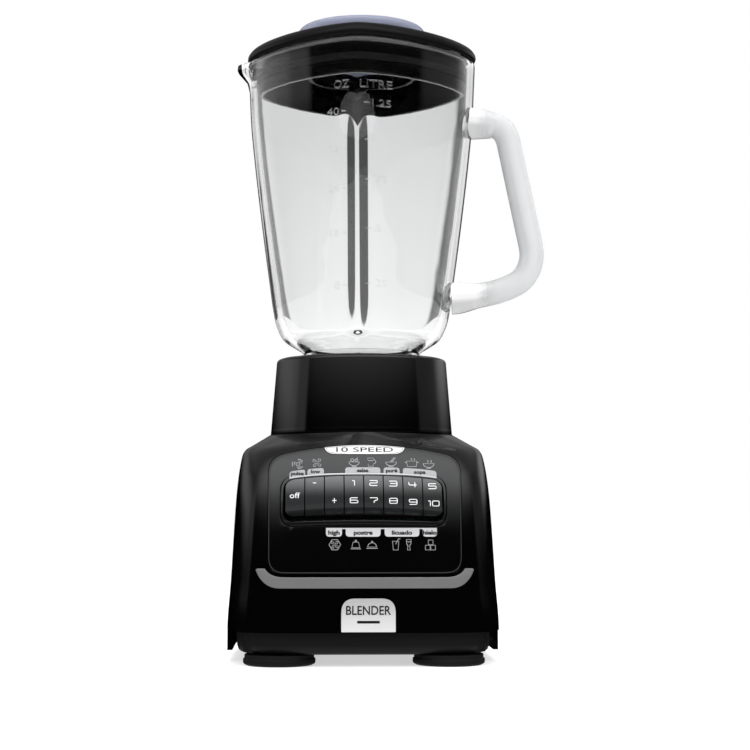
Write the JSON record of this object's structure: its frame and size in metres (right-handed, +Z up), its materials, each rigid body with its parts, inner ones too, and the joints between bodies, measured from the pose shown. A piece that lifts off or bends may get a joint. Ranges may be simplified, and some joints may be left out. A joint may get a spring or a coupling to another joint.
{
  "type": "countertop blender",
  "caption": "Countertop blender: a squarish glass jar with handle, spout, lid and measuring cap, seated on a black motor base with rocker keys.",
  "frame": {"origin": "middle of the footprint's bounding box, on the surface that the feet stand on", "axes": "+Z up along the drive axis, +X to the right towards the jar's handle, +Y to the rear; the key panel faces -Y"},
  "size_m": [0.1937, 0.176, 0.391],
  "materials": {
    "gloss_black_shell": "high gloss",
    "satin_black_plastic": "satin",
    "panel_black": "clear-coated gloss",
    "lid_black": "satin gloss",
    "key_plastic": "soft gloss, dark grey",
    "silver_plate": "fine brushed",
    "grey_trim": "satin metallic grey",
    "black_rubber": "matt",
    "clear_glass": "clear",
    "tinted_clear_plastic": "translucent, faintly blue",
    "steel": "brushed",
    "laminated_steel": "stacked sheet, dull",
    "cast_aluminium": "as cast",
    "copper_winding": "lacquered copper",
    "carbon": "dull black",
    "brown_moulding": "dull brown",
    "circuit_board": "green lacquer"
  },
  "bodies": {
    "base": {"motor_housing": "gloss_black_shell", "jar_collar": "gloss_black_shell", "base_plate": "satin_black_plastic", "control_panel": "panel_black", "key_frame": "satin_black_plastic", "panel_badge": "silver_plate", "trim_strip": "grey_trim", "front_plate": "silver_plate", "cord_gland": "black_rubber", "foot_front_left": "black_rubber", "foot_front_right": "black_rubber", "foot_rear_left": "black_rubber", "foot_rear_right": "black_rubber", "screw_front_left": "steel", "screw_front_right": "steel", "screw_rear_left": "steel", "screw_rear_right": "steel", "switch_block": "brown_moulding", "control_board": "circuit_board", "lower_bracket": "cast_aluminium", "upper_bracket": "cast_aluminium", "stator_core": "laminated_steel", "field_coil_front": "copper_winding", "field_coil_rear": "copper_winding", "lower_bearing": "steel", "upper_bearing": "steel", "brush_holder_left": "brown_moulding", "brush_holder_right": "brown_moulding", "brush_left": "carbon", "brush_right": "carbon", "motor_bolt_left": "steel", "motor_bolt_right": "steel"},
    "rotor": {"motor_shaft": "steel", "rotor_core": "laminated_steel", "commutator": "copper_winding", "cooling_fan": "satin_black_plastic", "drive_dog": "satin_black_plastic"},
    "jar": {"glass_jar": "clear_glass", "jar_ring": "satin_black_plastic", "jar_gasket": "black_rubber", "blade_plate": "steel"},
    "blades": {"blade_shaft": "steel", "lower_blade": "steel", "upper_blade": "steel", "blade_nut": "steel", "driven_coupling": "satin_black_plastic"},
    "lid": {"lid": "lid_black", "lid_seal": "black_rubber"},
    "cap": {"measuring_cap": "tinted_clear_plastic"},
    "off_key": {"off_key": "key_plastic"},
    "low_key": {"low_key": "key_plastic"},
    "high_key": {"high_key": "key_plastic"},
    "key_1_6": {"key_1_6": "key_plastic"},
    "key_2_7": {"key_2_7": "key_plastic"},
    "key_3_8": {"key_3_8": "key_plastic"},
    "key_4_9": {"key_4_9": "key_plastic"},
    "key_5_10": {"key_5_10": "key_plastic"}
  },
  "joints": [
    {"name": "motor_spin", "type": "hinge", "parent": "base", "child": "rotor", "pos_m": [-0.0173, 0, 0.1], "axis": [0, 0, 1], "continuous": true},
    {"name": "jar_lift", "type": "slide", "parent": "base", "child": "jar", "axis": [0, 0, 1], "range_m": [0, 0.12]},
    {"name": "blade_spin", "type": "hinge", "parent": "jar", "child": "blades", "pos_m": [-0.0173, 0, 0.17], "axis": [0, 0, 1], "continuous": true},
    {"name": "lid_lift", "type": "slide", "parent": "jar", "child": "lid", "axis": [0, 0, 1], "range_m": [0, 0.06]},
    {"name": "cap_lift", "type": "slide", "parent": "lid", "child": "cap", "axis": [0, 0, 1], "range_m": [0, 0.05]},
    {"name": "off_key_rock", "type": "hinge", "parent": "base", "child": "off_key", "pos_m": [-0.05758, -0.073, 0.0975], "axis": [1, 0, 0], "range_deg": [-6, 6], "stiffness_Nm_per_rad": 0.08},
    {"name": "low_key_rock", "type": "hinge", "parent": "base", "child": "low_key", "pos_m": [-0.04632, -0.073, 0.0975], "axis": [1, 0, 0], "range_deg": [-6, 0], "stiffness_Nm_per_rad": 0.08},
    {"name": "high_key_rock", "type": "hinge", "parent": "base", "child": "high_key", "pos_m": [-0.03507, -0.073, 0.0975], "axis": [1, 0, 0], "range_deg": [0, 6], "stiffness_Nm_per_rad": 0.08},
    {"name": "key_1_6_rock", "type": "hinge", "parent": "base", "child": "key_1_6", "pos_m": [-0.02382, -0.073, 0.0975], "axis": [1, 0, 0], "range_deg": [-6, 6], "stiffness_Nm_per_rad": 0.08},
    {"name": "key_2_7_rock", "type": "hinge", "parent": "base", "child": "key_2_7", "pos_m": [-0.01257, -0.073, 0.0975], "axis": [1, 0, 0], "range_deg": [-6, 6], "stiffness_Nm_per_rad": 0.08},
    {"name": "key_3_8_rock", "type": "hinge", "parent": "base", "child": "key_3_8", "pos_m": [-0.00132, -0.073, 0.0975], "axis": [1, 0, 0], "range_deg": [-6, 6], "stiffness_Nm_per_rad": 0.08},
    {"name": "key_4_9_rock", "type": "hinge", "parent": "base", "child": "key_4_9", "pos_m": [0.00993, -0.073, 0.0975], "axis": [1, 0, 0], "range_deg": [-6, 6], "stiffness_Nm_per_rad": 0.08},
    {"name": "key_5_10_rock", "type": "hinge", "parent": "base", "child": "key_5_10", "pos_m": [0.02118, -0.073, 0.0975], "axis": [1, 0, 0], "range_deg": [-6, 6], "stiffness_Nm_per_rad": 0.08}
  ],
  "couplings": [
    {"joint": "blade_spin", "follows": "motor_spin", "ratio": 1}
  ]
}
